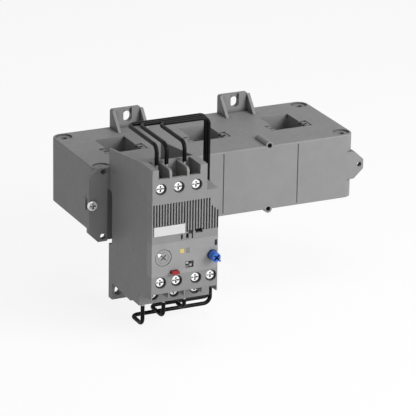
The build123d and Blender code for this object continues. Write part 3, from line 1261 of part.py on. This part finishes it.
def main():
    os.makedirs("parts", exist_ok=True)
    save("block_housing", make_block_housing())
    save("block_base", make_block_base())
    save("block_screws", *make_block_screws())
    for name, x in zip(("left", "middle", "right"), WINDOW_XS):
        save(f"core_{name}", make_core(x))
        save(f"winding_{name}", make_winding(x))
    save("bracket", make_bracket())
    save("bracket_screws", *make_bracket_screws())
    save("adapter", make_adapter())
    save("rear_housing", make_rear_housing())
    save("front_cover", make_front_cover())
    save("marker_label", make_label())
    save("fascia", make_fascia())
    save("aux_terminal_block", make_aux_block())
    save("adapter_screws", *make_adapter_screws())
    save("top_screws", *[terminal_screw(x, TOP_SCREW_Z, RELAY_FACE) for x in TOP_SCREW_XS])
    save("aux_screws", *[terminal_screw(x, AUX_SCREW_Z, RELAY_FACE) for x in AUX_XS])
    save("main_screws", *[terminal_screw(x + MAIN_SCREW_SHIFT, MAIN_SCREW_Z, TIER_FACE) for x in MAIN_XS])
    save("top_clamps", *make_top_clamps())
    save("aux_clamps", *make_aux_clamps())
    save("main_clamps", *make_main_clamps())
    save("conductors", *make_conductors())
    save("toroids", *make_toroids())
    save("circuit_board", make_board())
    save("board_parts", *make_board_parts())
    save("potentiometer", make_potentiometer())
    save("setting_dial", make_dial())
    save("dial_pointer", dial_pointer())
    save("reset_knob", make_knob())
    save("reset_plunger", make_reset_plunger())
    save("reset_spring", make_reset_spring())
    save("test_button", make_test_button())
    save("test_spring", make_test_spring())
    save("selector_body", make_selector_body())
    save("selector_slider_left", make_slider(-1))
    save("selector_slider_right", make_slider(1))
    save("status_light", make_light_pipe(LED_X, LED_SIZE, LED_SIZE))
    save("signal_window", make_light_pipe(SIGNAL_X, SIGNAL_WIDTH, SIGNAL_HEIGHT))
    save("solenoid", make_solenoid())
    save("armature", make_armature())
    save("fixed_contacts", *make_fixed_contacts())
    save("moving_contacts", *make_moving_contacts())
    save("contact_carrier", make_contact_carrier())
    save("lead_gland", make_gland())
    save("top_ferrules", *make_top_ferrules())
    save("bottom_ferrules", *make_bottom_ferrules())
    for i in range(3):
        save(f"top_lead_{i + 1}", make_top_lead(i))
        save(f"bottom_lead_{i + 1}", make_bottom_lead(i))


if __name__ == "__main__":
    main()
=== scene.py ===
"""Looks for the electronic overload relay: camera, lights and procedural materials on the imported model.

Metres, in the same frame as the model: -Y faces the viewer and +Z is up.
"""

import json
from math import cos, radians, sin

import bpy
from mathutils import Matrix, Vector

MM = 0.001

# Camera, as fitted to the corners of the transformer block
CAMERA_AZIMUTH = -25.782
CAMERA_ELEVATION = 20.427
CAMERA_ROLL = 1.026
CAMERA_TARGET = (-13.39 * MM, -74.5 * MM, -14.85 * MM)
CAMERA_DISTANCE = 1881.7 * MM
CAMERA_LENS = 253.1
CAMERA_SENSOR = 36.0
CLIP_NEAR = 0.05
CLIP_FAR = 30.0

# Stage: the floor's own tone, and the share of plain white in how it is seen
FLOOR_Z = -80 * MM
FLOOR_SIZE = 12.0
FLOOR_TONE = 0.96
FLOOR_GLOW = 0.86

# Each light: direction (azimuth, elevation), distance, size and power
LIGHTS = {
    "key": (32, 26, 1.6, 0.9, 23.0),
    "front": (5, 2, 2.0, 1.2, 12.0),
    "top": (-10, 78, 1.5, 1.0, 6.5),
    "left": (-95, 15, 1.8, 1.0, 1.4),
}
AMBIENT = 0.18

# The span that noise mostly stays in, which colour and gloss are stretched from
NOISE_LOW = 0.3
NOISE_HIGH = 0.7

# How many octaves the noise has in clouds of colour, in patches of gloss and in grain
CLOUD_DETAIL = 4.0
PATCH_DETAIL = 3.0
GRAIN_DETAIL = 2.0

# Painted shade in hollows: darkest where this share of the sky is open, and plain from the second one on
HOLLOW_SHUT = 0.35
HOLLOW_OPEN = 0.95
HOLLOW_SAMPLES = 8
EDGE_SAMPLES = 4

# Moulded plastic: clouds from the melt's flow, patches of gloss and the mould's spark-eroded grain
FLOW_SIZE = 9 * MM
GLOSS_SIZE = 2.5 * MM
GLOSS_SPREAD = 0.06
GRAIN_SIZE = 0.22 * MM
GRAIN_DEPTH = 0.05 * MM
# How far the painted shade in the plastic's hollows reaches
PLASTIC_SHADE_REACH = 3 * MM
PLASTIC_SPECULAR = 0.3

# Plated metal: fine tarnish and scratches, with painted shade that turns the cross recesses nearly black
TARNISH_SIZE = 1.2 * MM
TARNISH_DARK = 0.86
TARNISH_LIGHT = 1.05
SCRATCH_SIZE = 0.35 * MM
SCRATCH_POLISH = 0.08
SCRATCH_DULLING = 0.12
BRUSH_SIZE = 0.3 * MM
BRUSH_DEPTH = 0.03 * MM
BRUSH_STRENGTH = 0.15
METAL_EDGE = 0.15 * MM
METAL_SHADE_REACH = 1.2 * MM
METAL_PAINTED_SHADE = 0.02

# Wire insulation: faint clouds, a gloss between two limits and a drawn texture
SHEATH_BLACKS = ((0.0015, 0.0015, 0.002), (0.004, 0.004, 0.005))
SHEATH_CLOUD_SIZE = 4 * MM
SHEATH_PATCH_SIZE = 1.5 * MM
SHEATH_GLOSS = (0.3, 0.46)
SHEATH_GRAIN_SIZE = 0.4 * MM
SHEATH_GRAIN_DEPTH = 0.04 * MM

# Windings and cores: the darker and lighter tone of their bands, and the bands' size and height
TURN_TONES = ((0.25, 0.08, 0.025), (0.6, 0.24, 0.09))
TURN_SIZE = 2.2 * MM
TURN_HEIGHT = 0.1 * MM
TURN_UNEVENNESS = 0.4
SHEET_TONES = ((0.28, 0.28, 0.29), (0.5, 0.5, 0.51))
SHEET_SIZE = 3.0 * MM
SHEET_HEIGHT = 0.05 * MM

# Lenses: faint clouds and a slight texture
LENS_CLOUD_SIZE = 1.5 * MM
LENS_DARK = 0.9
LENS_LIGHT = 1.05
LENS_GRAIN_SIZE = 0.5 * MM
LENS_GRAIN_DEPTH = 0.03 * MM
LENS_EDGE = 0.15 * MM

# The grey that all the housings are moulded in, give or take a little
GREY = (0.2, 0.2, 0.201)

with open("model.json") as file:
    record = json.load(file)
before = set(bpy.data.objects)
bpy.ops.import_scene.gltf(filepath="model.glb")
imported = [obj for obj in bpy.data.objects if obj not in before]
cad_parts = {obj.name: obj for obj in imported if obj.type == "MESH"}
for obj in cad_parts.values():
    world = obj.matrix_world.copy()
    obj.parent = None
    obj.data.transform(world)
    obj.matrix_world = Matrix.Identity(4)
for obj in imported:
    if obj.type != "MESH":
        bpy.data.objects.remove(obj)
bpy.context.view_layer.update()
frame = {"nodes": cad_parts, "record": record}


def direction(azimuth, elevation):
    """The unit vector from the object towards a place seen at this azimuth and elevation."""
    a = radians(azimuth)
    e = radians(elevation)
    return Vector((sin(a) * cos(e), -cos(a) * cos(e), sin(e)))


def facing(back, roll=0.0):
    """The rotation of something that looks against the vector back."""
    right = Vector((0, 0, 1)).cross(back).normalized()
    up = back.cross(right)
    r = radians(roll)
    turned_right = cos(r) * right + sin(r) * up
    turned_up = -sin(r) * right + cos(r) * up
    return Matrix((turned_right, turned_up, back)).transposed().to_4x4()


def make_camera():
    """The camera at the photograph's viewing angle."""
    data = bpy.data.cameras.new("camera")
    data.lens = CAMERA_LENS
    data.sensor_width = CAMERA_SENSOR
    data.clip_start = CLIP_NEAR
    data.clip_end = CLIP_FAR
    camera = bpy.data.objects.new("camera", data)
    back = direction(CAMERA_AZIMUTH, CAMERA_ELEVATION)
    place = Vector(CAMERA_TARGET) + back * CAMERA_DISTANCE
    camera.matrix_world = Matrix.Translation(place) @ facing(back, CAMERA_ROLL)
    bpy.context.scene.collection.objects.link(camera)
    bpy.context.scene.camera = camera


def make_lights():
    """Large soft area lights round the object."""
    for name, (azimuth, elevation, distance, size, power) in LIGHTS.items():
        data = bpy.data.lights.new(name, "AREA")
        data.shape = "DISK"
        data.size = size
        data.energy = power
        light = bpy.data.objects.new(name, data)
        back = direction(azimuth, elevation)
        light.matrix_world = Matrix.Translation(back * distance) @ facing(back)
        bpy.context.scene.collection.objects.link(light)


def seen_directly(tree):
    """1 for camera, glossy and transmission rays and 0 for the rays that light the object."""
    path = tree.nodes.new("ShaderNodeLightPath")
    value = path.outputs["Is Camera Ray"]
    for name in ("Is Glossy Ray", "Is Transmission Ray"):
        either = tree.nodes.new("ShaderNodeMath")
        either.operation = "MAXIMUM"
        tree.links.new(value, either.inputs[0])
        tree.links.new(path.outputs[name], either.inputs[1])
        value = either.outputs[0]
    return value


def make_world():
    """An even pale surrounding that is seen as white."""
    world = bpy.data.worlds.new("studio")
    world.use_nodes = True
    tree = world.node_tree
    background = tree.nodes["Background"]
    background.inputs["Color"].default_value = (1, 1, 1, 1)
    strength = tree.nodes.new("ShaderNodeMapRange")
    strength.inputs["To Min"].default_value = AMBIENT
    strength.inputs["To Max"].default_value = 1.0
    tree.links.new(seen_directly(tree), strength.inputs["Value"])
    tree.links.new(strength.outputs["Result"], background.inputs["Strength"])
    bpy.context.scene.world = world


def floor_paint():
    """Pale paint that is seen as nearly white and still takes a faint shadow."""
    material = bpy.data.materials.new("floor")
    material.use_nodes = True
    tree = material.node_tree
    tree.nodes.clear()
    paint = tree.nodes.new("ShaderNodeBsdfDiffuse")
    paint.inputs["Color"].default_value = (FLOOR_TONE, FLOOR_TONE, FLOOR_TONE, 1)
    white = tree.nodes.new("ShaderNodeEmission")
    white.inputs["Color"].default_value = (1, 1, 1, 1)
    share = tree.nodes.new("ShaderNodeMath")
    share.operation = "MULTIPLY"
    share.inputs[1].default_value = FLOOR_GLOW
    mix = tree.nodes.new("ShaderNodeMixShader")
    output = tree.nodes.new("ShaderNodeOutputMaterial")
    tree.links.new(seen_directly(tree), share.inputs[0])
    tree.links.new(share.outputs[0], mix.inputs["Fac"])
    tree.links.new(paint.outputs[0], mix.inputs[1])
    tree.links.new(white.outputs[0], mix.inputs[2])
    tree.links.new(mix.outputs[0], output.inputs["Surface"])
    return material


def make_floor():
    """A plain pale floor under the object."""
    mesh = bpy.data.meshes.new("floor")
    half = FLOOR_SIZE / 2
    corners = [(x * half, y * half, FLOOR_Z) for x, y in ((-1, -1), (1, -1), (1, 1), (-1, 1))]
    mesh.from_pydata(corners, [], [(0, 1, 2, 3)])
    mesh.materials.append(floor_paint())
    floor = bpy.data.objects.new("floor", mesh)
    bpy.context.scene.collection.objects.link(floor)


class Surface:
    """A material with a principled shader and helpers for object-space detail."""

    def __init__(self, roughness, metallic=0.0, specular=0.5):
        self.material = bpy.data.materials.new("surface")
        self.material.use_nodes = True
        self.nodes = self.material.node_tree.nodes
        self.links = self.material.node_tree.links
        self.shader = self.nodes["Principled BSDF"]
        self.shader.inputs["Roughness"].default_value = roughness
        self.shader.inputs["Metallic"].default_value = metallic
        self.shader.inputs["Specular IOR Level"].default_value = specular
        self.place = self.nodes.new("ShaderNodeTexCoord").outputs["Object"]

    def noise(self, size, detail=PATCH_DETAIL, stretch=(1, 1, 1)):
        """Noise whose features are about size metres across."""
        mapping = self.nodes.new("ShaderNodeMapping")
        mapping.inputs["Scale"].default_value = stretch
        self.links.new(self.place, mapping.inputs["Vector"])
        noise = self.nodes.new("ShaderNodeTexNoise")
        noise.inputs["Scale"].default_value = 1 / size
        noise.inputs["Detail"].default_value = detail
        self.links.new(mapping.outputs["Vector"], noise.inputs["Vector"])
        return noise.outputs["Fac"]

    def bands(self, size, axis, distortion=0.0):
        """Even bands across one axis, about three in each size metres."""
        wave = self.nodes.new("ShaderNodeTexWave")
        wave.bands_direction = axis
        wave.inputs["Scale"].default_value = 1 / size
        wave.inputs["Distortion"].default_value = distortion
        self.links.new(self.place, wave.inputs["Vector"])
        return wave.outputs["Fac"]

    def spread(self, value, low, high, source_low=NOISE_LOW, source_high=NOISE_HIGH):
        """The value stretched from its source span to low and high."""
        spread = self.nodes.new("ShaderNodeMapRange")
        spread.inputs["From Min"].default_value = source_low
        spread.inputs["From Max"].default_value = source_high
        spread.inputs["To Min"].default_value = low
        spread.inputs["To Max"].default_value = high
        self.links.new(value, spread.inputs["Value"])
        return spread.outputs["Result"]

    def tint(self, value, dark, light):
        """Base colour that runs from dark to light with the value."""
        ramp = self.nodes.new("ShaderNodeValToRGB")
        ramp.color_ramp.elements[0].position = NOISE_LOW
        ramp.color_ramp.elements[0].color = (*dark, 1)
        ramp.color_ramp.elements[1].position = NOISE_HIGH
        ramp.color_ramp.elements[1].color = (*light, 1)
        self.links.new(value, ramp.inputs["Fac"])
        self.links.new(ramp.outputs["Color"], self.shader.inputs["Base Color"])

    def gloss(self, value, low, high):
        """Roughness that runs from low to high with the value."""
        self.links.new(self.spread(value, low, high), self.shader.inputs["Roughness"])

    def shade_recesses(self, depth, darkest):
        """Darken the base colour in hollows narrower than depth, where little light gets in."""
        base = self.shader.inputs["Base Color"]
        colour = base.links[0].from_socket
        hollow = self.nodes.new("ShaderNodeAmbientOcclusion")
        hollow.samples = HOLLOW_SAMPLES
        hollow.inputs["Distance"].default_value = depth
        shade = self.spread(hollow.outputs["AO"], darkest, 1.0, HOLLOW_SHUT, HOLLOW_OPEN)
        dim = self.nodes.new("ShaderNodeVectorMath")
        dim.operation = "SCALE"
        self.links.new(colour, dim.inputs[0])
        self.links.new(shade, dim.inputs["Scale"])
        self.links.new(dim.outputs["Vector"], base)

    def grain(self, height, strength, distance, edge=0.0):
        """Bump from a height value, over edges softened by a small radius."""
        bump = self.nodes.new("ShaderNodeBump")
        bump.inputs["Strength"].default_value = strength
        bump.inputs["Distance"].default_value = distance
        self.links.new(height, bump.inputs["Height"])
        if edge:
            bevel = self.nodes.new("ShaderNodeBevel")
            bevel.samples = EDGE_SAMPLES
            bevel.inputs["Radius"].default_value = edge
            self.links.new(bevel.outputs["Normal"], bump.inputs["Normal"])
        self.links.new(bump.outputs["Normal"], self.shader.inputs["Normal"])


def scaled(colour, factor):
    """A colour made lighter or darker."""
    return tuple(min(1.0, part * factor) for part in colour)


def moulded(colour, roughness=0.5, edge=0.35, grain=0.25, variation=0.04, hollow_shade=0.6):
    """Moulded plastic: fine grain, faint flow variation, uneven gloss and painted shade in the hollows.
    """
    surface = Surface(roughness, specular=PLASTIC_SPECULAR)
    flow = surface.noise(FLOW_SIZE, CLOUD_DETAIL)
    surface.tint(flow, scaled(colour, 1 - variation), scaled(colour, 1 + variation))
    # Painted shade: the base colour is darkened in hollows, down to the given factor
    surface.shade_recesses(PLASTIC_SHADE_REACH, hollow_shade)
    surface.gloss(surface.noise(GLOSS_SIZE), roughness - GLOSS_SPREAD, roughness + GLOSS_SPREAD)
    surface.grain(surface.noise(GRAIN_SIZE, GRAIN_DETAIL), grain, GRAIN_DEPTH, edge * MM)
    return surface.material


def plated(colour, roughness, lay=(1, 1, 1), metallic=1.0):
    """Plated metal: soft reflections broken by fine scratches along one direction."""
    surface = Surface(roughness, metallic)
    tarnish = surface.noise(TARNISH_SIZE, CLOUD_DETAIL)
    surface.tint(tarnish, scaled(colour, TARNISH_DARK), scaled(colour, TARNISH_LIGHT))
    # Painted shade, nearly black, in the cross recesses and other narrow hollows
    surface.shade_recesses(METAL_SHADE_REACH, METAL_PAINTED_SHADE)
    scratches = surface.noise(SCRATCH_SIZE, stretch=lay)
    surface.gloss(scratches, roughness - SCRATCH_POLISH, roughness + SCRATCH_DULLING)
    brushing = surface.noise(BRUSH_SIZE, GRAIN_DETAIL, lay)
    surface.grain(brushing, BRUSH_STRENGTH, BRUSH_DEPTH, METAL_EDGE)
    return surface.material


def insulation():
    """Smooth black wire insulation with a faint drawn texture."""
    surface = Surface(roughness=0.38, specular=0.1)
    surface.tint(surface.noise(SHEATH_CLOUD_SIZE), *SHEATH_BLACKS)
    surface.gloss(surface.noise(SHEATH_PATCH_SIZE), *SHEATH_GLOSS)
    drawing = surface.noise(SHEATH_GRAIN_SIZE, GRAIN_DETAIL)
    surface.grain(drawing, strength=0.2, distance=SHEATH_GRAIN_DEPTH)
    return surface.material


def wound_copper():
    """Enamelled copper wire, laid turn by turn."""
    surface = Surface(roughness=0.35, metallic=0.8)
    turns = surface.bands(TURN_SIZE, "X", TURN_UNEVENNESS)
    surface.tint(turns, *TURN_TONES)
    surface.grain(turns, strength=0.6, distance=TURN_HEIGHT)
    return surface.material


def laminated():
    """Stacked steel laminations seen on their edges."""
    surface = Surface(roughness=0.42, metallic=0.9)
    sheets = surface.bands(SHEET_SIZE, "Z")
    surface.tint(sheets, *SHEET_TONES)
    surface.grain(sheets, strength=0.3, distance=SHEET_HEIGHT)
    return surface.material


def lens(colour):
    """A small smooth lens with a faint cloudiness."""
    surface = Surface(roughness=0.25)
    clouds = surface.noise(LENS_CLOUD_SIZE, GRAIN_DETAIL)
    surface.tint(clouds, scaled(colour, LENS_DARK), scaled(colour, LENS_LIGHT))
    texture = surface.noise(LENS_GRAIN_SIZE, GRAIN_DETAIL)
    surface.grain(texture, strength=0.1, distance=LENS_GRAIN_DEPTH, edge=LENS_EDGE)
    return surface.material


def housing_materials():
    """The grey plastics of the block and the relay, which differ a little from piece to piece."""
    return {
        # The last figure sets how dark the painted shade in each piece's hollows gets
        "block_plastic": moulded(GREY, roughness=0.52, hollow_shade=0.3),
        "base_plastic": moulded(scaled(GREY, 0.95), roughness=0.55, hollow_shade=0.3),
        "bracket_plastic": moulded(GREY, roughness=0.52),
        "adapter_plastic": moulded(scaled(GREY, 0.98), roughness=0.52),
        "rear_plastic": moulded(scaled(GREY, 0.92)),
        "cover_plastic": moulded(scaled(GREY, 0.97), hollow_shade=0.85),
        "fascia_plastic": moulded(scaled(GREY, 1.17), roughness=0.48, hollow_shade=0.9),
        "aux_plastic": moulded(scaled(GREY, 0.95)),
        "dial_plastic": moulded(scaled(GREY, 1.2), roughness=0.45, edge=0.15),
    }


def control_materials():
    """The coloured and white pieces on the operating face."""
    return {
        # The knob's hollows take nearly black painted shade
        "knob_blue": moulded((0.035, 0.12, 0.46), roughness=0.3, edge=0.2, hollow_shade=0.02),
        "button_red": moulded((0.24, 0.014, 0.014), roughness=0.35, edge=0.2),
        "slider_white": moulded((0.38, 0.38, 0.38), roughness=0.35, edge=0.15, variation=0.01),
        "pointer_white": moulded((0.8, 0.8, 0.8), roughness=0.45, edge=0, grain=0.05, variation=0.01),
        "label_plastic": moulded((0.5, 0.5, 0.505), roughness=0.4, edge=0.15, grain=0.08, variation=0.01),
        "light_yellow": lens((0.5, 0.4, 0.13)),
        "signal_grey": lens((0.17, 0.17, 0.172)),
    }


def inner_materials():
    """What lies inside the housings or shows only through their openings."""
    return {
        "inner_plastic": moulded((0.3, 0.3, 0.3), edge=0.2, hollow_shade=0.9),
        "gland_rubber": moulded((0.012, 0.012, 0.012), roughness=0.6, edge=0.2),
        "board_laminate": moulded((0.015, 0.1, 0.04), roughness=0.4, edge=0, grain=0.1),
        "winding_copper": wound_copper(),
        "solenoid_copper": wound_copper(),
        "core_steel": laminated(),
    }


def wiring_materials():
    """Screws, clamps, conductors and leads."""
    return {
        "screw_steel": plated((0.88, 0.88, 0.87), roughness=0.3, metallic=0.55),
        # Black steel, kept nearly black so that the deep cover-screw holes read dark: partly painted
        # shade
        "cover_screw_steel": plated((0.05, 0.05, 0.05), roughness=0.4),
        "tinned_copper": plated((0.5, 0.49, 0.46), roughness=0.42, lay=(1, 1, 0.15)),
        "lead_insulation": insulation(),
    }


def make_materials():
    """One material for each slot of the record, named after it."""
    materials = {**housing_materials(), **control_materials(), **inner_materials(), **wiring_materials()}
    for slot, material in materials.items():
        material.name = slot
    return materials


def dress_nodes():
    """Give every CAD node the material of its slot."""
    materials = make_materials()
    slots = {part["node"]: part["material_slot"] for part in frame["record"]["subparts"]}
    for node, obj in frame["nodes"].items():
        material = materials[slots[node]]
        if not obj.material_slots:
            obj.data.materials.append(material)
        for slot in obj.material_slots:
            slot.material = material


bpy.context.scene.view_settings.view_transform = "Standard"
make_camera()
make_lights()
make_world()
make_floor()
dress_nodes()
